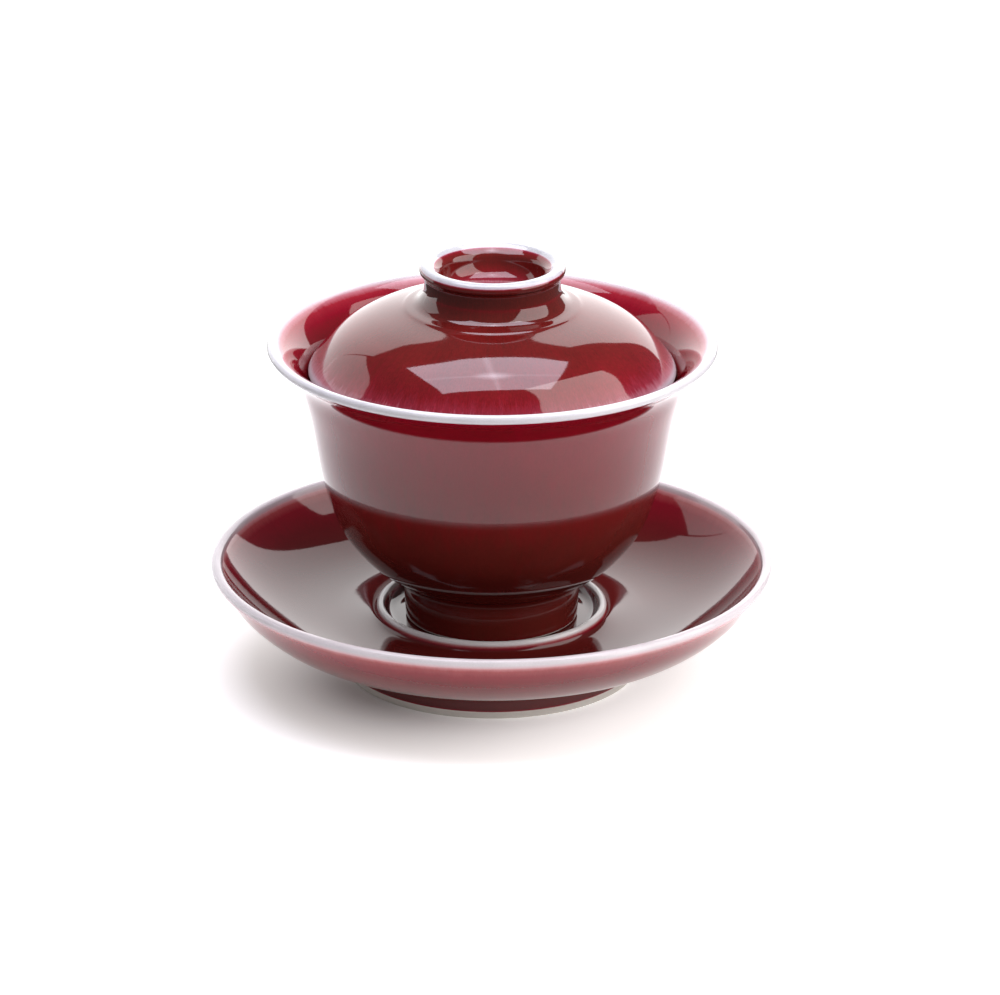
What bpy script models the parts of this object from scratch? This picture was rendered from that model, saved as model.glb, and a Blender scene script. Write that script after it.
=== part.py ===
"""A gaiwan: a saucer, a flared bowl that stands in the saucer's seat, and a domed lid with a ring knob.

All three pieces are turned about the Z axis. The origin is the centre of the saucer's foot, on the table.
Heights are measured from the table, with the bowl in its seat and the lid on the bowl.
"""
import math

import bpy

MM = 0.001

# How finely the pieces are turned
SEGMENTS = 40
MERGE_DISTANCE = 0.02 * MM

# Saucer
SAUCER_RADIUS = 59.0 * MM
SAUCER_HEIGHT = 24.3 * MM
SAUCER_RIM_ROUNDING = 1.15 * MM
SAUCER_FOOT_RADIUS = 31.1 * MM
SAUCER_FOOT_WALL = 2.6 * MM
SAUCER_FOOT_DEPTH = 8.4 * MM
SEAT_HEIGHT = 11.4 * MM
SEAT_RADIUS = 21.5 * MM
SEAT_RING_RADIUS = 23.4 * MM
SEAT_RING_ROUNDING = 0.9 * MM
SEAT_RING_TOP = 14.25 * MM

# Bowl
REST_GAP = 0.3 * MM
BOWL_RADIUS = 46.75 * MM
BOWL_TOP = 72.3 * MM
BOWL_RIM_ROUNDING = 1.0 * MM
BOWL_FOOT_RADIUS = 18.1 * MM
BOWL_FOOT_WALL = 2.5 * MM
BOWL_FOOT_TOP = 20.2 * MM
BOWL_UNDERSIDE = 20.4 * MM
BOWL_FLOOR = 24.4 * MM

# Lid
LID_RADIUS = 38.35 * MM
LID_EDGE_HEIGHT = 66.0 * MM
LID_EDGE_ROUNDING = 0.9 * MM
LID_CEILING = 79.0 * MM
KNOB_RADIUS = 15.1 * MM
KNOB_TOP = 89.3 * MM
KNOB_LIP_DEPTH = 2.5 * MM
KNOB_NECK_RADIUS = 14.25 * MM
KNOB_NECK_FOOT = 83.5 * MM
KNOB_FLOOR = 82.1 * MM

# Glaze and bare clay
GLAZE_DEEP = (0.115, 0.008, 0.012, 1.0)
GLAZE_BRIGHT = (0.185, 0.008, 0.018, 1.0)
GLAZE_THIN = (0.205, 0.022, 0.030, 1.0)
GLAZE_ROUGHNESS = 0.12


def mm_points(*pairs):
    """Give (radius, height) pairs written in millimetres as metres."""
    return [(radius * MM, height * MM) for radius, height in pairs]


def arc(centre, radius, start_degrees, end_degrees, steps):
    """Give points along an arc about centre, with angles measured from the outward direction."""
    points = []
    for step in range(steps + 1):
        angle = math.radians(start_degrees + (end_degrees - start_degrees) * step / steps)
        points.append((centre[0] + radius * math.cos(angle), centre[1] + radius * math.sin(angle)))
    return points


def smooth(stations, steps=2):
    """Give points along a Catmull-Rom curve that passes through every station."""
    ends_added = [stations[0]] + list(stations) + [stations[-1]]
    points = [stations[0]]
    for before, here, there, after in zip(ends_added, ends_added[1:], ends_added[2:], ends_added[3:]):
        for step in range(1, steps + 1):
            t = step / steps
            points.append(tuple(
                0.5 * (2 * h + (n - b) * t + (2 * b - 5 * h + 4 * n - a) * t ** 2
                       + (3 * h - b - 3 * n + a) * t ** 3)
                for b, h, n, a in zip(before, here, there, after)))
    return points


def saucer_outline():
    """Give the saucer from the middle of its seat, over its rim and down to the middle of its underside."""
    seat = [(0.0, SEAT_HEIGHT), (SEAT_RADIUS, SEAT_HEIGHT), (SEAT_RADIUS + 0.6 * MM, SEAT_HEIGHT + 0.8 * MM)]
    ring_centre = (SEAT_RING_RADIUS, SEAT_RING_TOP - SEAT_RING_ROUNDING)
    ring = arc(ring_centre, SEAT_RING_ROUNDING, 180, 0, 6)
    dish = smooth(mm_points((24.4, 12.4), (25.0, 11.9), (27.0, 11.55), (29.0, 11.3), (33.0, 11.1),
                            (36.0, 11.3), (39.0, 11.75), (42.0, 12.5), (47.0, 14.6), (51.5, 17.6),
                            (54.8, 20.7), (56.6, 22.9)))
    rim_centre = (SAUCER_RADIUS - SAUCER_RIM_ROUNDING, SAUCER_HEIGHT - SAUCER_RIM_ROUNDING)
    rim = arc(rim_centre, SAUCER_RIM_ROUNDING, 145, -30, 6)
    underside = smooth(mm_points((57.0, 20.5), (55.0, 17.5), (51.6, 14.0), (47.3, 11.0), (39.2, 8.0),
                                 (33.4, 6.2), (31.5, 4.9)))
    foot_inside = SAUCER_FOOT_RADIUS - SAUCER_FOOT_WALL
    foot = [
        (SAUCER_FOOT_RADIUS, 0.7 * MM),
        (SAUCER_FOOT_RADIUS - 0.5 * MM, 0.0),
        (foot_inside + 0.6 * MM, 0.0),
        (foot_inside, 0.7 * MM),
        (foot_inside - 0.4 * MM, SAUCER_FOOT_DEPTH - 1.6 * MM),
        (foot_inside - 2.0 * MM, SAUCER_FOOT_DEPTH - 0.2 * MM),
        (0.0, SAUCER_FOOT_DEPTH),
    ]
    return seat + ring + dish + rim + underside + foot


def bowl_outline():
    """Give the bowl from the middle of its floor, over its flared rim and down to its underside."""
    foot_bottom = SEAT_HEIGHT + REST_GAP
    inside = smooth([(0.0, BOWL_FLOOR)] + mm_points(
        (9.0, 24.6), (17.5, 26.3), (24.4, 29.9), (29.0, 34.8), (31.8, 41.0), (33.6, 48.5), (35.2, 56.5),
        (37.0, 62.4), (38.8, 65.8), (40.8, 68.6), (42.9, 70.7), (44.9, 71.95)))
    rim_centre = (BOWL_RADIUS - BOWL_RIM_ROUNDING, BOWL_TOP - BOWL_RIM_ROUNDING)
    rim = arc(rim_centre, BOWL_RIM_ROUNDING, 90, -50, 5)
    outside = smooth(mm_points((45.0, 69.9), (43.0, 68.2), (40.8, 65.5), (39.45, 62.0), (38.1, 57.0),
                               (36.8, 50.0), (35.5, 43.0), (33.7, 37.0), (31.6, 32.0), (28.75, 28.0),
                               (25.9, 24.95), (22.6, 22.55), (19.3, 20.8)))
    foot_inside = BOWL_FOOT_RADIUS - BOWL_FOOT_WALL
    foot = [
        (BOWL_FOOT_RADIUS + 0.4 * MM, BOWL_FOOT_TOP - 0.6 * MM),
        (BOWL_FOOT_RADIUS + 0.1 * MM, foot_bottom + 4.5 * MM),
        (BOWL_FOOT_RADIUS, foot_bottom + 0.7 * MM),
        (BOWL_FOOT_RADIUS - 0.5 * MM, foot_bottom),
        (foot_inside + 0.5 * MM, foot_bottom),
        (foot_inside, foot_bottom + 0.7 * MM),
        (foot_inside - 0.4 * MM, BOWL_UNDERSIDE - 1.6 * MM),
        (foot_inside - 2.0 * MM, BOWL_UNDERSIDE - 0.2 * MM),
        (0.0, BOWL_UNDERSIDE),
    ]
    return inside + rim + outside + foot


def lid_outline():
    """Give the lid from the middle of its knob's hollow, over the knob and the dome, to its ceiling."""
    hollow = smooth([(0.0, KNOB_FLOOR)] + mm_points((4.0, 82.2), (7.2, 82.7), (9.3, 83.7), (10.3, 85.2),
                                                     (10.8, 86.8), (11.6, 87.9)))
    lip = [
        (KNOB_RADIUS - 2.9 * MM, KNOB_TOP - 1.0 * MM),
        (KNOB_RADIUS - 2.1 * MM, KNOB_TOP - 0.1 * MM),
        (KNOB_RADIUS - 1.5 * MM, KNOB_TOP),
        (KNOB_RADIUS - 0.7 * MM, KNOB_TOP - 0.25 * MM),
        (KNOB_RADIUS - 0.2 * MM, KNOB_TOP - 0.7 * MM),
        (KNOB_RADIUS, KNOB_TOP - 1.3 * MM),
        (KNOB_RADIUS - 0.05 * MM, KNOB_TOP - 1.9 * MM),
    ]
    neck = [(KNOB_NECK_RADIUS, KNOB_TOP - KNOB_LIP_DEPTH), (KNOB_NECK_RADIUS, KNOB_NECK_FOOT)]
    dome = smooth(mm_points((14.45, 82.9), (14.85, 82.2), (15.45, 81.4), (16.5, 80.7), (18.2, 80.2),
                            (19.3, 79.75), (21.8, 78.9), (24.6, 77.9), (27.2, 76.75), (29.7, 75.4),
                            (32.85, 73.0), (35.1, 70.5), (37.2, 68.0)))
    edge_centre = (LID_RADIUS - LID_EDGE_ROUNDING, LID_EDGE_HEIGHT)
    edge = arc(edge_centre, LID_EDGE_ROUNDING, 15, -180, 6)
    under = mm_points((35.4, 67.2), (33.2, 69.8), (30.2, 72.2), (26.2, 74.4), (20.7, 76.5), (11.0, 78.5))
    ceiling = smooth(under + [(0.0, LID_CEILING)])
    return hollow + lip + neck + dome + edge + ceiling


def glaze_material(name, colour):
    """Give a glossy glaze in one colour."""
    material = bpy.data.materials.new(name)
    material.use_nodes = True
    shader = material.node_tree.nodes["Principled BSDF"]
    shader.inputs["Base Color"].default_value = colour
    shader.inputs["Roughness"].default_value = GLAZE_ROUGHNESS
    shader.inputs["Metallic"].default_value = 0.0
    material.diffuse_color = colour
    return material


def turned_piece(name, outline, material, collection):
    """Turn an outline about the Z axis into one closed solid."""
    mesh = bpy.data.meshes.new(name)
    edges = [(index, index + 1) for index in range(len(outline) - 1)]
    mesh.from_pydata([(radius, 0.0, height) for radius, height in outline], edges, [])
    piece = bpy.data.objects.new(name, mesh)
    collection.objects.link(piece)
    mesh.materials.append(material)
    turn = piece.modifiers.new("Turn", 'SCREW')
    turn.axis = 'Z'
    turn.angle = math.tau
    turn.steps = SEGMENTS
    turn.render_steps = SEGMENTS
    turn.use_merge_vertices = True
    turn.merge_threshold = MERGE_DISTANCE
    turn.use_smooth_shade = True
    return piece


def main():
    """Build the gaiwan at rest: the bowl stands in the saucer and carries the lid."""
    for old in list(bpy.data.objects):
        bpy.data.objects.remove(old)
    collection = bpy.data.collections.new("gaiwan")
    bpy.context.scene.collection.children.link(collection)
    turned_piece("saucer", saucer_outline(), glaze_material("saucer_glaze", GLAZE_THIN), collection)
    turned_piece("bowl", bowl_outline(), glaze_material("bowl_glaze", GLAZE_DEEP), collection)
    turned_piece("lid", lid_outline(), glaze_material("lid_glaze", GLAZE_BRIGHT), collection)


main()
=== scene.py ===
"""A copper-red gaiwan in porcelain: a saucer, a flared bowl in its seat, and a domed lid with a ring knob.

Each piece is turned from its own outline. An outline is a chain of stations. Every station says how far out
and how high the wall is there, and how thick the glaze lies on it. The glaze runs thin and white over each
sharp edge, and the feet stand on bare clay. A few thin places in the glaze are painted highlights. Three
panels, an overhead lamp and a soft front fill light the pieces, which stand on a pale round floor whose
glow is painted light that softens their shadow.
"""
import logging
import math
from dataclasses import dataclass
from enum import Enum
from typing import Sequence, Union

import bpy
import numpy as np
from mathutils import Matrix, Vector


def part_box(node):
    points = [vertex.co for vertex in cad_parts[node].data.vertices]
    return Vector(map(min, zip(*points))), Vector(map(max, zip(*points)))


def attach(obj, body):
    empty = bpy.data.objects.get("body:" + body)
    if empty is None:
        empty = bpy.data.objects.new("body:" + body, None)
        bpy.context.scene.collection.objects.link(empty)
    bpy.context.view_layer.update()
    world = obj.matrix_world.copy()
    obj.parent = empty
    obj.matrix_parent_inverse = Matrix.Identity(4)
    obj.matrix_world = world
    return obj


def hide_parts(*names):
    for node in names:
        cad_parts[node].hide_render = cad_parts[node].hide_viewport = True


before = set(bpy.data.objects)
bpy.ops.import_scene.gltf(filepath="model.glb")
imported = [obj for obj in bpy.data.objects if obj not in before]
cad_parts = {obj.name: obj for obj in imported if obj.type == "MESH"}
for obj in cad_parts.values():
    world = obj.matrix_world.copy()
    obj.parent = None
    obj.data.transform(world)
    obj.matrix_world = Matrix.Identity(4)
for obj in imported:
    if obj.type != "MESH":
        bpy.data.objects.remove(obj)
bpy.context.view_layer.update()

MM = 0.001
ARC_SPACING = 0.16 * MM
STEADY_RADIUS = 12 * MM

log = logging.getLogger("gaiwan")

Socket = bpy.types.NodeSocket
Value = Union[float, Sequence[float], Socket]


class Role(Enum):
    """What a light does in the studio."""

    SIDE = "side"
    LAMP = "lamp"
    BACK = "back"
    FILL = "fill"


@dataclass(frozen=True)
class Station:
    """One point of an outline.

    Attributes:
        radius: How far out the point is, in metres.
        height: How high the point is above the table, in metres.
        glaze: How thick the glaze lies there, from 0, only the white body, to 1, a full pool.
        bare: How much of the surface is bare clay, from 0 to 1.
    """

    radius: float
    height: float
    glaze: float
    bare: float = 0.0


def stations(*rows: tuple[float, ...]) -> list[Station]:
    """Make stations from rows in millimetres.

    Args:
        rows: Each row is the radius, the height, the glaze's thickness and, if any, the bareness.

    Returns:
        The stations, in metres.
    """
    return [Station(row[0] * MM, row[1] * MM, *row[2:]) for row in rows]


class Outline:
    """A piece's outline, from the axis, over its rim and back to the axis.

    Attributes:
        spacing: The longest step along a curve, in metres.
    """

    spacing: float = 0.5 * MM

    def __init__(self) -> None:
        """Start with no points."""
        self.points: list[tuple[float, ...]] = []

    def curve(self, through: Sequence[Station]) -> "Outline":
        """Add a smooth curve.

        Args:
            through: The stations that the curve passes through.

        Returns:
            This outline.
        """
        rows = np.array([(s.radius, s.height, s.glaze, s.bare) for s in through])
        chords = np.hypot(*np.diff(rows[:, :2], axis=0).T)
        bends = self.bends(rows[:, :2], chords)
        for k, chord in enumerate(chords):
            steps = max(2, math.ceil(chord / self.spacing))
            for t in np.linspace(0.0, 1.0, steps, endpoint=False):
                point = rows[k] + (rows[k + 1] - rows[k]) * t
                point[:2] -= chord ** 2 / 6 * t * (1 - t) * ((2 - t) * bends[k] + (1 + t) * bends[k + 1])
                self.points.append(tuple(point))
        self.points.append(tuple(rows[-1]))
        return self

    @staticmethod
    def bends(places: np.ndarray, chords: np.ndarray) -> np.ndarray:
        """Give the second derivatives of the smooth curve through some places.

        Args:
            places: The places, one row each.
            chords: The lengths between them.

        Returns:
            One row for each place, nought at both ends.
        """
        count = len(places)
        system, pull = np.eye(count), np.zeros_like(places)
        for k in range(1, count - 1):
            before, after = chords[k - 1], chords[k]
            system[k, k - 1:k + 2] = before, 2 * (before + after), after
            pull[k] = 6 * ((places[k + 1] - places[k]) / after - (places[k] - places[k - 1]) / before)
        return np.linalg.solve(system, pull)

    def arc(self, centre: tuple[float, float], radius: float, turn: tuple[float, float],
            glaze: tuple[float, float] = (0.0, 0.0)) -> "Outline":
        """Add an arc.

        Args:
            centre: The radius and height of the arc's centre.
            radius: The arc's radius.
            turn: The first and last angle in degrees, measured from straight out.
            glaze: The glaze's thickness at the first and last angle.

        Returns:
            This outline.
        """
        steps = max(8, round(abs(math.radians(turn[1] - turn[0])) * radius / ARC_SPACING))
        for t in np.linspace(0.0, 1.0, steps + 1):
            angle = math.radians(turn[0] + (turn[1] - turn[0]) * t)
            self.points.append((centre[0] + radius * math.cos(angle), centre[1] + radius * math.sin(angle),
                                glaze[0] + (glaze[1] - glaze[0]) * t, 0.0))
        return self

    def rows(self) -> np.ndarray:
        """Give the points with every repeated point dropped.

        Returns:
            One row for each point: radius, height, glaze and bareness.
        """
        points = np.array(self.points)
        apart = np.hypot(*np.diff(points[:, :2], axis=0).T) > 1e-6
        return points[np.concatenate([[True], apart])]


@dataclass(frozen=True)
class Wobble:
    """How far a turned and fired wall strays from a true circle.

    Attributes:
        depth: The largest stray, in metres.
        waves: The numbers of waves round the piece.
        drift: How fast each wave's phase drifts along the outline, in radians for each metre.
        seed: The start of the phases' draw.
    """

    depth: float = 0.012 * MM
    waves: tuple[int, ...] = (2, 3, 5)
    drift: float = 60.0
    seed: int = 1

    def stray(self, angles: np.ndarray, run: np.ndarray) -> np.ndarray:
        """Give the stray along the wall's normal.

        Args:
            angles: The angles round the axis.
            run: The lengths along the outline.

        Returns:
            One row for each length, one column for each angle, in metres.
        """
        draw = np.random.default_rng(self.seed)
        total = np.zeros((len(run), len(angles)))
        for wave in self.waves:
            phase, drift = draw.uniform(0.0, math.tau), draw.uniform(-1.0, 1.0) * self.drift
            total += np.cos(wave * angles[None] + phase + drift * run[:, None] * 2.0) / (1.0 + 0.25 * wave)
        return self.depth * total / len(self.waves)


def turn(name: str, outline: Outline, wobble: Wobble, segments: int = 288) -> bpy.types.Object:
    """Turn an outline about the Z axis into a closed mesh.

    Args:
        name: The piece's name.
        outline: The outline, which starts and ends on the axis.
        wobble: How the wall strays from round.
        segments: How many steps go round.

    Returns:
        The piece, with the attributes run, glaze and bare on its points.
    """
    rows = outline.rows()
    lengths = np.hypot(*np.diff(rows[:, :2], axis=0).T)
    run = np.concatenate([[0.0], np.cumsum(lengths)])
    along = np.gradient(rows[:, :2], run, axis=0)
    along /= np.hypot(*along.T)[:, None]
    angles = np.arange(segments) * math.tau / segments
    fade = np.clip(rows[:, 0] / STEADY_RADIUS, 0.0, 1.0)
    stray = wobble.stray(angles, run) * fade[:, None]
    radii = rows[:, :1] + along[:, 1:] * -stray
    heights = rows[:, 1:2] + along[:, :1] * stray
    places = np.stack([radii * np.cos(angles), radii * np.sin(angles), heights], axis=2)[1:-1]
    first, last = (0.0, 0.0, rows[0, 1]), (0.0, 0.0, rows[-1, 1])
    points = np.vstack([places.reshape(-1, 3), [first, last]])
    top, bottom = len(points) - 2, len(points) - 1
    across = np.arange(segments)
    after = (across + 1) % segments
    low = (np.arange(len(places) - 1) * segments)[:, None]
    quads = np.stack([low + across, low + segments + across, low + segments + after, low + after], axis=2)
    faces: list[tuple[int, ...]] = [tuple(quad) for quad in quads.reshape(-1, 4).tolist()]
    end = (len(places) - 1) * segments
    faces.extend((top, a, b) for a, b in zip(across.tolist(), after.tolist()))
    faces.extend((bottom, end + b, end + a) for a, b in zip(across.tolist(), after.tolist()))
    mesh = bpy.data.meshes.new(name)
    mesh.from_pydata(points.tolist(), [], faces)
    for label, values in (("run", run / MM), ("glaze", rows[:, 2]), ("bare", rows[:, 3])):
        spread = np.concatenate([np.repeat(values[1:-1], segments), values[[0, -1]]])
        mesh.attributes.new(label, 'FLOAT', 'POINT').data.foreach_set("value", spread.astype(np.float32))
    mesh.shade_smooth()
    piece = bpy.data.objects.new(name, mesh)
    bpy.context.scene.collection.objects.link(piece)
    return piece


class Graph:
    """A material's nodes, added one at a time round its Principled shader."""

    def __init__(self, name: str) -> None:
        """Start a material.

        Args:
            name: The material's name.
        """
        self.material = bpy.data.materials.new(name)
        self.material.use_nodes = True
        self.tree = self.material.node_tree
        self.shader = self.tree.nodes["Principled BSDF"]

    def node(self, kind: str, **settings: object) -> bpy.types.Node:
        """Add a node.

        Args:
            kind: The node's type.
            settings: Properties to set on the node.

        Returns:
            The node.
        """
        node = self.tree.nodes.new(kind)
        for key, value in settings.items():
            setattr(node, key, value)
        return node

    def feed(self, socket: Socket, value: Value) -> None:
        """Link a socket to another, or set its value.

        Args:
            socket: The input.
            value: A socket or a plain value.
        """
        if isinstance(value, bpy.types.NodeSocket):
            self.tree.links.new(value, socket)
        else:
            socket.default_value = value

    def attribute(self, name: str) -> Socket:
        """Read a float attribute of the mesh.

        Args:
            name: The attribute's name.

        Returns:
            Its value.
        """
        return self.node("ShaderNodeAttribute", attribute_name=name).outputs["Fac"]

    def calc(self, operation: str, *values: Value) -> Socket:
        """Do one step of arithmetic.

        Args:
            operation: The step to do.
            values: What it works on.

        Returns:
            The result.
        """
        node = self.node("ShaderNodeMath", operation=operation)
        for socket, value in zip(node.inputs, values):
            self.feed(socket, value)
        return node.outputs[0]

    def fit(self, value: Value, source: tuple[float, float],
            target: tuple[float, float] = (0.0, 1.0)) -> Socket:
        """Map a range of values smoothly onto another, and clamp.

        Args:
            value: The value to map.
            source: The range that it has.
            target: The range that it gets.

        Returns:
            The mapped value.
        """
        node = self.node("ShaderNodeMapRange", interpolation_type='SMOOTHSTEP')
        for socket, number in zip(node.inputs, (value, *source, *target)):
            self.feed(socket, number)
        return node.outputs[0]

    def around(self, across: float, along: float) -> Socket:
        """Give a texture space that follows the piece's turning.

        Args:
            across: How many units the space has for each radian round the piece.
            along: How many units it has for each millimetre along the outline.

        Returns:
            The coordinates.
        """
        parts = self.node("ShaderNodeSeparateXYZ")
        self.feed(parts.inputs[0], self.node("ShaderNodeTexCoord").outputs["Object"])
        x, y = parts.outputs[0], parts.outputs[1]
        square = self.calc('MULTIPLY_ADD', x, x, self.calc('MULTIPLY_ADD', y, y, 1e-9))
        factor = self.calc('DIVIDE', across, self.calc('SQRT', square))
        joined = self.node("ShaderNodeCombineXYZ")
        self.feed(joined.inputs[0], self.calc('MULTIPLY', x, factor))
        self.feed(joined.inputs[1], self.calc('MULTIPLY', y, factor))
        self.feed(joined.inputs[2], self.calc('MULTIPLY', self.attribute("run"), along))
        return joined.outputs[0]

    def place(self) -> Socket:
        """Give the piece's own coordinates in millimetres."""
        scaled = self.node("ShaderNodeVectorMath", operation='SCALE')
        self.feed(scaled.inputs[0], self.node("ShaderNodeTexCoord").outputs["Object"])
        scaled.inputs["Scale"].default_value = 1.0 / MM
        return scaled.outputs[0]

    def noise(self, where: Socket, scale: float, detail: float = 2.0, roughness: float = 0.5,
              seed: float = 0.0) -> Socket:
        """Give a noise from 0 to 1.

        Args:
            where: The coordinates.
            scale: How many features for each unit.
            detail: How many finer layers.
            roughness: How strong the finer layers are.
            seed: Where in the noise's fourth dimension to look.

        Returns:
            The noise.
        """
        node = self.node("ShaderNodeTexNoise", noise_dimensions='4D')
        for key, value in (("Vector", where), ("W", seed), ("Scale", scale), ("Detail", detail),
                           ("Roughness", roughness)):
            self.feed(node.inputs[key], value)
        return node.outputs["Fac"]

    def ramp(self, value: Socket, stops: Sequence[tuple[float, Sequence[float]]]) -> Socket:
        """Turn a value into a colour.

        Args:
            value: The value.
            stops: Where each colour sits.

        Returns:
            The colour.
        """
        node = self.node("ShaderNodeValToRGB")
        ramp = node.color_ramp
        ramp.interpolation = 'LINEAR'
        while len(ramp.elements) < len(stops):
            ramp.elements.new(0.5)
        for element, (position, colour) in zip(ramp.elements, stops):
            element.position = position
            element.color = (*colour, 1.0)
        self.feed(node.inputs[0], value)
        return node.outputs[0]

    def mix(self, factor: Value, first: Value, second: Value) -> Socket:
        """Mix two colours.

        Args:
            factor: The share of the second colour.
            first: The first colour.
            second: The second colour.

        Returns:
            The mixed colour.
        """
        node = self.node("ShaderNodeMix", data_type='RGBA', blend_type='MIX')
        self.feed(node.inputs[0], factor)
        self.feed(node.inputs[6], first)
        self.feed(node.inputs[7], second)
        return node.outputs[2]


@dataclass(frozen=True)
class CopperRed:
    """A copper-red glaze over white porcelain, with fine streaks where it ran in the fire.

    Attributes:
        name: The material's name.
        stops: The colour for each thickness of glaze.
        streaks: How many streaks for each radian round the piece.
        stretch: How many streaks for each millimetre down the wall.
        streak_depth: How much the streaks thin and thicken the glaze.
        mottle: How much the broad cloudiness darkens and lightens the colour.
        fleck: How much the fine dashes darken and lighten the colour.
        roughness: How rough the glaze is.
        ior: The glaze's index of refraction.
        ripple: How high the streaks stand, in metres.
        peel: How high the slow waves of the surface stand, in metres.
        clay: The bare clay's colour.
        seed: Where the noises start.
    """

    name: str
    stops: tuple[tuple[float, tuple[float, float, float]], ...]
    streaks: float = 62.0
    stretch: float = 0.33
    streak_depth: float = 0.3
    mottle: float = 0.16
    fleck: float = 0.3
    roughness: float = 0.05
    ior: float = 1.5
    ripple: float = 0.0016 * MM
    peel: float = 0.0018 * MM
    clay: tuple[float, float, float] = (0.55, 0.52, 0.48)
    seed: float = 0.0

    def make(self) -> bpy.types.Material:
        """Build the material.

        Returns:
            The material.
        """
        g = Graph(self.name)
        fur = g.noise(g.around(self.streaks, self.stretch), 1.0, 3.0, 0.62, self.seed)
        strands = g.noise(g.around(self.streaks * 0.35, self.stretch * 0.4), 1.0, 2.0, 0.5,
                          self.seed + 3.0)
        clouds = g.noise(g.place(), 0.11, 2.0, 0.5, self.seed + 5.0)
        grain = g.noise(g.place(), 3.4, 2.0, 0.6, self.seed + 7.0)
        thick = g.attribute("glaze")
        runs = g.calc('ADD', g.calc('MULTIPLY', g.calc('SUBTRACT', fur, 0.5), 0.75),
                      g.calc('MULTIPLY', g.calc('SUBTRACT', strands, 0.5), 0.6))
        reach = g.calc('MULTIPLY', g.fit(thick, (0.05, 0.45)), self.streak_depth)
        depth = g.calc('MULTIPLY_ADD', runs, reach, thick)
        colour = g.ramp(depth, self.stops)
        value = g.calc('MULTIPLY_ADD', g.calc('SUBTRACT', clouds, 0.5), self.mottle * 2.0, 1.0)
        value = g.calc('MULTIPLY_ADD', g.calc('SUBTRACT', grain, 0.5), self.mottle * 1.2, value)
        flecks = g.noise(g.around(self.streaks * 2.6, 1.1), 1.0, 2.0, 0.6, self.seed + 13.0)
        share = g.calc('MULTIPLY', g.fit(thick, (0.1, 0.5)), self.fleck)
        value = g.calc('MULTIPLY_ADD', g.calc('SUBTRACT', flecks, 0.5), share, value)
        tone = g.node("ShaderNodeHueSaturation")
        g.feed(tone.inputs["Value"], value)
        g.feed(tone.inputs["Color"], colour)
        bare = g.attribute("bare")
        speck = g.fit(g.noise(g.place(), 2.6, 3.0, 0.7, self.seed + 9.0), (0.6, 0.72))
        clay = g.mix(g.calc('MULTIPLY', speck, 0.35), (*self.clay, 1.0), (0.42, 0.33, 0.25, 1.0))
        edge = g.fit(g.calc('MULTIPLY_ADD', g.calc('SUBTRACT', fur, 0.5), 0.5, bare), (0.35, 0.65))
        g.feed(g.shader.inputs["Base Color"], g.mix(edge, tone.outputs[0], clay))
        gloss = g.calc('MULTIPLY_ADD', g.calc('SUBTRACT', grain, 0.5), 0.02, self.roughness)
        g.feed(g.shader.inputs["Roughness"], g.calc('MULTIPLY_ADD', edge, 0.55, gloss))
        g.shader.inputs["IOR"].default_value = self.ior
        slow = g.noise(g.place(), 0.9, 1.0, 0.4, self.seed + 11.0)
        waves = g.calc('MULTIPLY', slow, self.peel / self.ripple)
        relief = g.calc('MULTIPLY_ADD', g.calc('MULTIPLY', grain, edge), 6.0, g.calc('ADD', fur, waves))
        bump = g.node("ShaderNodeBump")
        bump.inputs["Distance"].default_value = self.ripple
        g.feed(bump.inputs["Height"], relief)
        g.feed(g.shader.inputs["Normal"], bump.outputs[0])
        return g.material


WHITE = (0.62, 0.63, 0.655)
# Painted shade: the lid's white, 0.49, is a darker copy of the porcelain white, so the knob's lamp-facing lip
# does not burn out.
LID_STOPS = (
    (0.0, (0.49, 0.495, 0.515)), (0.12, (0.49, 0.42, 0.48)), (0.27, (0.37, 0.13, 0.17)),
    (0.45, (0.22, 0.016, 0.032)), (0.62, (0.165, 0.005, 0.010)), (0.82, (0.125, 0.007, 0.007)),
    (1.0, (0.085, 0.009, 0.007)),
)
BOWL_STOPS = (
    (0.0, WHITE), (0.12, (0.55, 0.44, 0.47)), (0.27, (0.41, 0.13, 0.16)),
    (0.45, (0.27, 0.012, 0.024)), (0.65, (0.21, 0.0012, 0.012)), (0.85, (0.145, 0.005, 0.008)),
    (1.0, (0.095, 0.012, 0.009)),
)
SAUCER_STOPS = (
    (0.0, (0.57, 0.55, 0.56)), (0.12, (0.54, 0.42, 0.44)), (0.27, (0.41, 0.16, 0.165)),
    (0.45, (0.24, 0.030, 0.035)), (0.62, (0.16, 0.001, 0.009)), (0.80, (0.10, 0.003, 0.006)),
    (1.0, (0.08, 0.008, 0.007)),
)


@dataclass(frozen=True)
class Extent:
    """How much room a solid takes up: its radius, its lowest and its highest height, in metres."""

    radius: float
    low: float
    high: float

    @classmethod
    def of(cls, node: str) -> "Extent":
        """Read a solid's extent from the frame.

        Args:
            node: The solid's name.

        Returns:
            The extent.
        """
        low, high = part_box(node)
        return cls(radius=high.x, low=low.z, high=high.z)


@dataclass
class Piece:
    """A turned piece that stands for one solid of the frame.

    Attributes:
        node: The solid's name.
        extent: How much room the solid takes up.
        wobble: How the wall strays from round.
        finish: The glaze and the bare clay.
    """

    node: str
    extent: Extent
    wobble: Wobble
    finish: CopperRed

    def outline(self) -> Outline:
        """Give the piece's outline.

        Returns:
            The outline.

        Raises:
            NotImplementedError: Each kind of piece has its own outline.
        """
        raise NotImplementedError

    def build(self) -> bpy.types.Object:
        """Build, dress and mount the piece.

        Returns:
            The finished piece.
        """
        piece = turn(self.node + "_piece", self.outline(), self.wobble)
        piece.data.materials.append(self.finish.make())
        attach(piece, self.node)
        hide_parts(self.node)
        log.info("%s has %d faces", piece.name, len(piece.data.polygons))
        return piece


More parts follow.
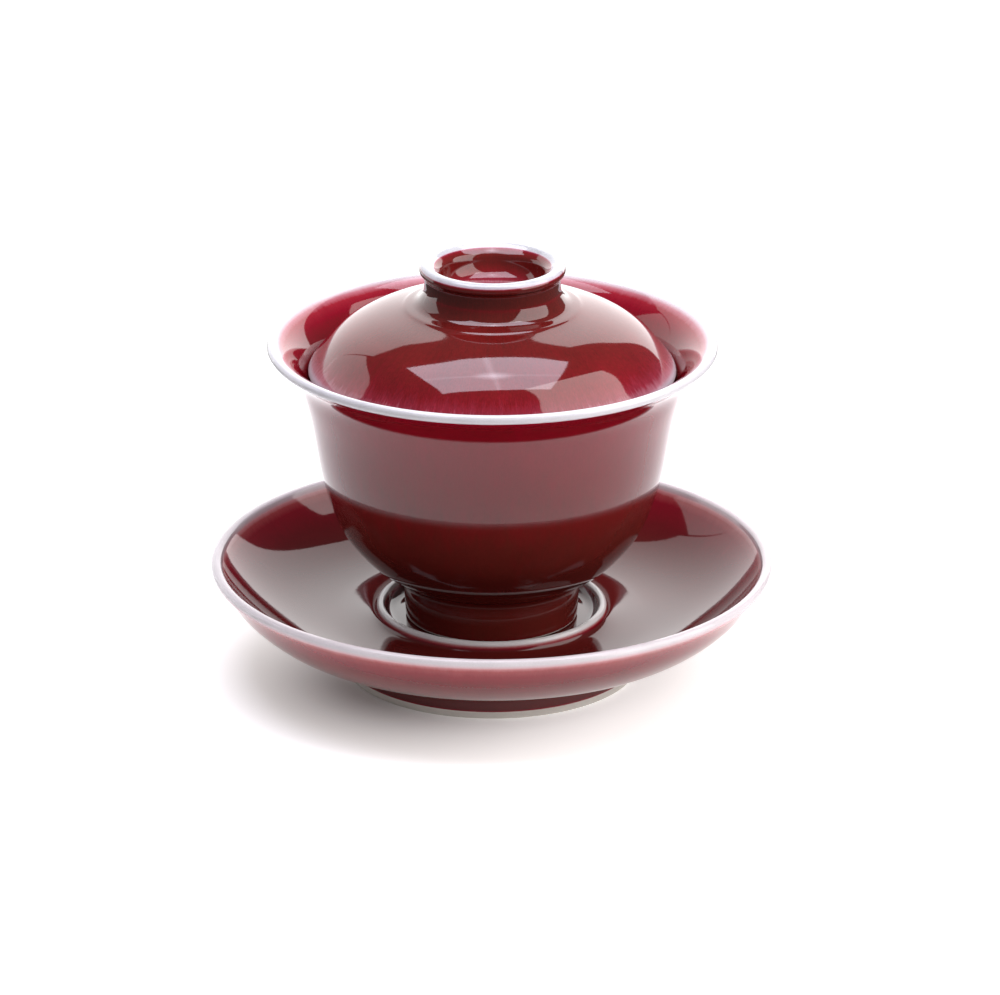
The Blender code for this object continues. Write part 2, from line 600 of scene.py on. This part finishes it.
@dataclass
class Saucer(Piece):
    """The saucer: a wide dish on a foot ring, with a raised seat ring in the middle.

    Attributes:
        rim: The rim's rounding.
        foot_radius: The foot ring's outer radius.
        foot_wall: How thick the foot ring is.
        foot_depth: How deep the recess inside the foot ring is.
        seat: How high the bowl's seat is.
        ring_radius: The seat ring's radius, to its crest.
        ring_top: How high the crest is.
        ring_rounding: The crest's rounding.
    """

    rim: float = 1.15 * MM
    foot_radius: float = 31.1 * MM
    foot_wall: float = 2.6 * MM
    foot_depth: float = 8.4 * MM
    seat: float = 11.4 * MM
    ring_radius: float = 23.4 * MM
    ring_top: float = 14.25 * MM
    ring_rounding: float = 0.85 * MM

    def outline(self) -> Outline:
        """Give the outline from the middle of the seat to the middle of the underside.

        Returns:
            The outline.
        """
        line = Outline()
        ring = (self.ring_radius, self.ring_top - self.ring_rounding)
        line.curve(stations((0.0, self.seat / MM, 1.0), (19.5, self.seat / MM, 1.0), (21.0, 11.5, 0.95),
                            (21.9, 12.1, 0.95), (22.4, 12.9, 0.6), (22.6, 13.3, 0.12)))
        line.arc(ring, self.ring_rounding, (160, 20), (0.0, 0.02))
        line.arc(ring, self.ring_rounding, (18, 0), (0.03, 0.2))
        line.curve(stations((24.29, 13.1, 0.4), (24.42, 12.75, 0.75), (24.7, 12.4, 1.0), (25.15, 12.1, 1.0),
                            (25.8, 11.85, 1.0), (27.0, 11.56, 1.0), (29.0, 11.28, 1.0), (31.0, 11.14, 1.0),
                            (33.0, 11.1, 1.0), (36.0, 11.3, 1.0), (39.0, 11.76, 1.0), (42.0, 12.5, 0.97),
                            (47.0, 14.6, 0.92), (51.5, 17.6, 0.78), (54.8, 20.7, 0.64), (56.0, 22.1, 0.45),
                            (56.75, 23.1, 0.16)))
        edge = (self.extent.radius - self.rim, self.extent.high - self.rim)
        line.arc(edge, self.rim, (150, 8), (0.05, 0.02))
        line.arc(edge, self.rim, (6, -30), (0.05, 0.24))
        line.curve(stations((58.5, 22.2, 0.36), (57.9, 21.4, 0.5), (57.0, 20.2, 0.6), (55.0, 17.5, 0.75),
                            (51.6, 14.0, 0.85), (47.3, 11.0, 0.9), (39.2, 8.0, 0.85), (33.4, 6.2, 0.95),
                            (31.7, 5.3, 0.9), (31.15, 4.3, 0.95), (31.1, 2.0, 0.9), (31.1, 1.65, 0.5)))
        foot = self.foot_radius / MM
        inside = foot - self.foot_wall / MM
        line.curve(stations((foot - 0.05, 1.5, 0.0, 1.0), (foot - 0.05, 0.4, 0.0, 1.0),
                            (foot - 0.2, 0.1, 0.0, 1.0), (foot - 0.4, 0.0, 0.0, 1.0)))
        line.curve(stations((inside + 0.5, 0.0, 0.0, 1.0), (inside + 0.15, 0.15, 0.0, 1.0),
                            (inside, 0.6, 0.0, 1.0), (inside, 1.3, 0.0, 1.0), (inside - 0.05, 1.6, 0.5),
                            (inside - 0.3, 5.5, 0.9)))
        depth = self.foot_depth / MM
        line.curve(stations((inside - 0.5, depth - 1.9, 0.9), (inside - 1.1, depth - 0.8, 0.9),
                            (inside - 2.4, depth - 0.2, 0.9), (inside - 6.0, depth, 0.95),
                            (0.0, depth, 0.95)))
        return line


@dataclass
class Bowl(Piece):
    """The bowl: a deep body that flares into a wide rim, on a tall foot ring.

    Attributes:
        rim: The rim's rounding.
        foot_wall: How thick the foot ring is.
        foot_radius: The foot ring's outer radius.
        underside: How high the underside is inside the foot ring.
        floor: How high the bowl's floor is.
    """

    rim: float = 1.0 * MM
    foot_wall: float = 2.5 * MM
    foot_radius: float = 18.1 * MM
    underside: float = 20.4 * MM
    floor: float = 24.4 * MM

    def outline(self) -> Outline:
        """Give the outline from the middle of the floor to the middle of the underside.

        Returns:
            The outline.
        """
        line = Outline()
        line.curve(stations((0.0, self.floor / MM, 0.95), (9.0, 24.6, 0.95), (17.5, 26.3, 0.95),
                            (24.4, 29.9, 0.95), (29.0, 34.8, 0.95), (31.8, 41.0, 0.95),
                            (33.6, 48.5, 0.9), (35.2, 56.5, 0.85),
                            (37.0, 62.4, 0.87), (38.8, 65.8, 0.84), (40.8, 68.6, 0.74), (42.9, 70.7, 0.5),
                            (44.2, 71.6, 0.25), (44.9, 72.0, 0.1)))
        centre = (self.extent.radius - self.rim, self.extent.high - self.rim)
        line.arc(centre, self.rim, (105, -50), (0.02, 0.03))
        line.curve(stations((45.6, 70.5, 0.4), (45.0, 69.9, 0.7), (43.0, 68.2, 0.8), (40.8, 65.5, 0.8),
                            (39.45, 62.0, 0.8), (38.1, 57.0, 0.85), (36.8, 50.0, 0.9), (35.5, 43.0, 0.95),
                            (33.7, 37.0, 1.0), (31.6, 32.0, 1.0), (28.75, 28.0, 1.0), (25.9, 24.95, 1.0),
                            # Partly painted highlight: the glaze thins to 0.92 at the belly's lower bend, as
                            # it does over a sharp edge, and this draws the light line there.
                            (22.6, 22.55, 1.0), (20.4, 21.4, 0.97), (19.3, 20.8, 0.92), (18.85, 20.2, 1.0),
                            (18.65, 19.6, 1.0), (18.48, 17.6, 1.0), (18.32, 15.4, 1.0), (18.2, 13.4, 1.0),
                            (18.14, 12.2, 0.95)))
        foot = self.foot_radius / MM
        inside = foot - self.foot_wall / MM
        low = self.extent.low / MM
        line.curve(stations((foot, low + 0.35, 0.0, 1.0), (foot - 0.12, low + 0.12, 0.0, 1.0),
                            (foot - 0.4, low, 0.0, 1.0)))
        line.curve(stations((inside + 0.5, low, 0.0, 1.0), (inside + 0.15, low + 0.15, 0.0, 1.0),
                            (inside, low + 0.6, 0.0, 1.0), (inside - 0.1, low + 1.4, 0.8),
                            (inside - 0.3, low + 6.0, 0.9)))
        under = self.underside / MM
        line.curve(stations((inside - 0.5, under - 1.7, 0.9), (inside - 1.0, under - 0.8, 0.9),
                            (inside - 2.2, under - 0.2, 0.9), (inside - 5.0, under, 0.95),
                            (0.0, under, 0.95)))
        return line


@dataclass
class Lid(Piece):
    """The lid: a dome that sits inside the bowl's rim, with a hollow knob.

    Attributes:
        edge: The edge's rounding.
        edge_height: How high the edge is.
        ceiling: How high the middle of the underside is.
        knob_radius: The knob's radius, to its lip.
        knob_floor: How high the knob's hollow starts.
    """

    edge: float = 0.9 * MM
    edge_height: float = 66.0 * MM
    ceiling: float = 79.0 * MM
    knob_radius: float = 15.1 * MM
    knob_floor: float = 82.1 * MM

    def outline(self) -> Outline:
        """Give the outline from the middle of the knob's hollow to the middle of the ceiling.

        Returns:
            The outline.
        """
        line = Outline()
        knob, top = self.knob_radius / MM, self.extent.high / MM
        # Painted highlight: the hollow's floor gets thin glaze, 0.36 to 0.42, which paints a pale pink
        # highlight on it.
        line.curve(stations((0.0, self.knob_floor / MM, 0.36), (4.0, 82.3, 0.36), (7.0, 82.85, 0.42),
                            (8.9, 83.7, 0.6), (9.9, 84.9, 0.8), (10.3, 86.0, 0.9), (10.55, 87.0, 0.9),
                            (10.75, 87.45, 0.9), (11.0, 87.75, 0.85), (11.4, 88.06, 0.8),
                            (12.0, 88.46, 0.5), (12.3, 88.66, 0.05), (12.6, 88.88, 0.0),
                            (13.05, 89.18, 0.0), (knob - 1.6, top, 0.0), (knob - 1.0, top - 0.1, 0.0),
                            (knob - 0.5, top - 0.38, 0.0), (knob - 0.2, top - 0.8, 0.12),
                            (knob - 0.03, top - 1.2, 0.85), (knob - 0.05, top - 1.9, 0.95),
                            (knob - 0.5, top - 2.35, 0.9), (14.2, 86.65, 0.95), (14.1, 86.1, 1.0),
                            # Painted highlight: the glaze dips to 0.72 at the neck's foot, z 83.5 mm, to draw
                            # the light line there.
                            (14.13, 85.0, 1.0), (14.2, 83.9, 0.95), (14.26, 83.5, 0.72),
                            (14.45, 82.9, 0.92), (14.85, 82.2, 0.95), (15.45, 81.42, 0.95),
                            (15.95, 81.02, 0.9), (16.5, 80.72, 0.9), (17.05, 80.55, 0.9),
                            (17.6, 80.4, 0.9), (18.15, 80.24, 0.88), (18.45, 80.1, 0.86),
                            (18.75, 79.95, 0.86), (19.3, 79.74, 0.88), (20.4, 79.38, 0.88),
                            (21.8, 78.93, 0.88), (24.6, 77.93, 0.86), (27.2, 76.77, 0.84),
                            (29.7, 75.42, 0.8), (32.85, 73.0, 0.72), (35.1, 70.5, 0.58),
                            (36.3, 69.1, 0.46), (37.2, 68.0, 0.32), (37.9, 67.0, 0.14)))
        line.arc((self.extent.radius - self.edge, self.edge_height), self.edge, (15, -180), (0.05, 0.0))
        line.curve(stations((36.4, 66.2, 0.2), (35.4, 67.2, 0.5), (33.2, 69.8, 0.85), (30.2, 72.2, 0.9),
                            (26.2, 74.4, 0.95), (20.7, 76.5, 0.95), (11.0, 78.5, 0.95),
                            (0.0, self.ceiling / MM, 0.95)))
        return line


class LightGraph(Graph):
    """A light's nodes, added one at a time round its Emission shader."""

    def __init__(self, light: bpy.types.Light) -> None:
        """Start a light's nodes.

        Args:
            light: The light.
        """
        light.use_nodes = True
        self.tree = light.node_tree
        self.shader = self.tree.nodes["Emission"]


@dataclass(frozen=True)
class Panel:
    """A flat rectangular light, which shines against the direction of across cross upward.

    Attributes:
        name: The light's name.
        role: What the light does.
        centre: Where its middle is, in metres.
        across: Its width, as a vector in metres.
        upward: Its height, as a vector in metres.
        glow: Its radiance.
        tint: Its colour.
        far_end: How bright the end that across points to is, as a share of the rest.
        spot: Where a lamp's hot spot and its ribs cross, as shares of its width and height.
    """

    name: str
    role: Role
    centre: tuple[float, float, float]
    across: tuple[float, float, float]
    upward: tuple[float, float, float]
    glow: float
    tint: tuple[float, float, float] = (1.0, 1.0, 1.0)
    far_end: float = 1.0
    spot: tuple[float, float] = (0.53, 0.53)

    def dress(self, light: bpy.types.Light) -> None:
        """Dim the light's far end, and give a lamp its hot spot and thin ribs.

        Args:
            light: The light to dress.
        """
        g = LightGraph(light)
        place = g.node("ShaderNodeSeparateXYZ")
        g.feed(place.inputs[0], g.node("ShaderNodeNewGeometry").outputs["Parametric"])
        level = g.fit(place.outputs[0], (1.0, 0.3), (self.far_end, 1.0))
        if self.role is Role.LAMP:
            sides = [g.calc('ABSOLUTE', g.calc('SUBTRACT', place.outputs[k], self.spot[k])) for k in range(2)]
            squares = [g.calc('POWER', side, 2.0) for side in sides]
            apart = g.calc('SQRT', g.calc('ADD', *squares))
            level = g.calc('ADD', level, g.fit(apart, (0.0, 0.16), (0.9, 0.0)))
            level = g.calc('ADD', level, g.fit(sides[0], (0.0, 0.03), (0.3, 0.0)))
            level = g.calc('ADD', level, g.fit(sides[1], (0.0, 0.045), (0.22, 0.0)))
        g.feed(g.shader.inputs["Strength"], level)

    def build(self) -> bpy.types.Object:
        """Build the light.

        Returns:
            The light.
        """
        across, upward = Vector(self.across), Vector(self.upward)
        data = bpy.data.lights.new(self.name, 'AREA')
        data.shape = 'RECTANGLE'
        data.size, data.size_y = across.length, upward.length
        data.energy = self.glow * data.size * data.size_y * math.pi
        data.color = self.tint
        self.dress(data)
        light = bpy.data.objects.new(self.name, data)
        x = across.normalized()
        z = x.cross(upward).normalized()
        light.visible_glossy = self.role is not Role.FILL
        facing = Matrix((x, z.cross(x), z)).transposed().to_4x4()
        light.matrix_world = Matrix.Translation(self.centre) @ facing
        bpy.context.scene.collection.objects.link(light)
        return light


@dataclass(frozen=True)
class Studio:
    """The floor, the lights and the camera.

    Attributes:
        aim: The point that the camera looks at, in metres.
        pitch: How far down the camera looks, in degrees.
        roll: How far the camera leans, in degrees.
        distance: How far the camera is from its aim, in metres.
        lens: The camera's focal length, in millimetres.
        floor_radius: The floor's radius, in metres.
        lee: The point round which the floor's painted glow is least, where the pieces' shadow falls, in
            metres.
        painted_glow_rise: Over which distances from the lee the floor's painted light grows, in metres.
        painted_glow_fade: Over which distances from the lee the painted light fades again, in metres.
        panels: The lights.
    """

    aim: tuple[float, float, float] = (1.7 * MM, 0.0, 37.37 * MM)
    pitch: float = 20.76
    roll: float = 0.19
    distance: float = 1.3
    lens: float = 223.2
    floor_radius: float = 0.197
    lee: tuple[float, float, float] = (-0.020, -0.013, 0.0)
    painted_glow_rise: tuple[float, float] = (0.002, 0.050)
    painted_glow_fade: tuple[float, float] = (0.07, 0.14)
    panels: tuple[Panel, ...] = (
        Panel("back_panel", Role.BACK, centre=(-0.055, 0.36, 0.265), across=(-0.59, 0.0, -0.07),
              upward=(-0.066, 0.0, 0.53), glow=2.35, far_end=0.66),
        Panel("left_panel", Role.SIDE, centre=(-0.409, 0.23, 0.205), across=(-0.12, -0.26, -0.03),
              upward=(-0.055, 0.0, 0.44), glow=1.5),
        Panel("right_panel", Role.SIDE, centre=(0.456, -0.06, 0.378), across=(0.379, 0.427, 0.023),
              upward=(-0.222, 0.168, 0.531), glow=3.2, tint=(1.0, 0.96, 0.94)),
        Panel("top_lamp", Role.LAMP, centre=(-0.012, 0.003, 0.675), across=(0.62, 0.08, 0.0),
              upward=(-0.06, 0.45, 0.0), glow=5.0, tint=(0.88, 0.87, 1.0)),
        Panel("front_fill", Role.FILL, centre=(0.25, -0.75, 0.45), across=(0.7, 0.24, 0.0),
              upward=(-0.09, 0.26, 0.40), glow=2.4),
    )

    def build(self) -> None:
        """Build all of it."""
        for panel in self.panels:
            panel.build()
        self.add_floor()
        self.add_world()
        self.add_camera()
        bpy.context.scene.view_settings.view_transform = 'Standard'

    def add_floor(self) -> None:
        """Add the pale round floor, whose emission is painted light: least at the lee, where the pieces'
        shadow falls, more round it, less again farther out.
        """
        turns = [math.tau * k / 128 for k in range(128)]
        ring = [(self.floor_radius * math.cos(angle), self.floor_radius * math.sin(angle), 0.0)
                for angle in turns]
        mesh = bpy.data.meshes.new("floor")
        mesh.from_pydata(ring, [], [tuple(range(len(ring)))])
        floor = bpy.data.objects.new("floor", mesh)
        g = Graph("floor")
        g.shader.inputs["Base Color"].default_value = (0.86, 0.85, 0.84, 1.0)
        g.shader.inputs["Roughness"].default_value = 0.9
        g.shader.inputs["Specular IOR Level"].default_value = 0.0
        reach = g.node("ShaderNodeVectorMath", operation='DISTANCE')
        g.feed(reach.inputs[0], g.node("ShaderNodeTexCoord").outputs["Object"])
        g.feed(reach.inputs[1], self.lee)
        g.shader.inputs["Emission Color"].default_value = (1.0, 0.985, 0.975, 1.0)
        # Painted light: the floor's emission grows away from the lee, lightening the pieces' shadow, and
        # fades again farther out.
        near = g.fit(reach.outputs["Value"], self.painted_glow_rise, (0.0, 0.5))
        far = g.fit(reach.outputs["Value"], self.painted_glow_fade, (0.0, -0.3))
        g.feed(g.shader.inputs["Emission Strength"], g.calc('ADD', near, far))
        mesh.materials.append(g.material)
        bpy.context.scene.collection.objects.link(floor)

    def add_world(self) -> None:
        """Add the dim room, which shows as white behind the floor."""
        world = bpy.data.worlds.new("room")
        world.use_nodes = True
        nodes, links = world.node_tree.nodes, world.node_tree.links
        path = nodes.new("ShaderNodeLightPath")
        level = nodes.new("ShaderNodeMapRange")
        level.inputs["To Min"].default_value = 0.12
        level.inputs["To Max"].default_value = 1.2
        links.new(path.outputs["Is Camera Ray"], level.inputs[0])
        links.new(level.outputs[0], nodes["Background"].inputs["Strength"])
        nodes["Background"].inputs["Color"].default_value = (1.0, 0.98, 0.97, 1.0)
        bpy.context.scene.world = world

    def add_camera(self) -> None:
        """Add the camera."""
        pitch = math.radians(self.pitch)
        data = bpy.data.cameras.new("camera")
        data.lens = self.lens
        data.sensor_width = 36.0
        data.clip_start = 0.01
        camera = bpy.data.objects.new("camera", data)
        back = Vector((0.0, -math.cos(pitch), math.sin(pitch)))
        camera.location = Vector(self.aim) + back * self.distance
        lean = Matrix.Rotation(math.radians(self.roll), 4, 'Z')
        tilt = Matrix.Rotation(math.pi / 2 - pitch, 4, 'X') @ lean
        camera.rotation_euler = tilt.to_euler()
        bpy.context.scene.collection.objects.link(camera)
        bpy.context.scene.camera = camera


def main() -> None:
    """Build the gaiwan and its studio."""
    logging.basicConfig(level=logging.INFO)
    saucer_glaze = CopperRed("saucer_finish", SAUCER_STOPS, streak_depth=0.12, ior=1.45, seed=1.0)
    bowl_glaze = CopperRed("bowl_finish", BOWL_STOPS, streak_depth=0.16, seed=20.0)
    lid_glaze = CopperRed("lid_finish", LID_STOPS, streaks=95.0, streak_depth=0.36, mottle=0.3, fleck=1.3,
                          ior=1.6, seed=40.0)
    Saucer("saucer", Extent.of("saucer"), Wobble(seed=3), saucer_glaze).build()
    Bowl("bowl", Extent.of("bowl"), Wobble(seed=5), bowl_glaze).build()
    Lid("lid", Extent.of("lid"), Wobble(seed=8), lid_glaze).build()
    Studio().build()


if __name__ == "__main__":
    main()
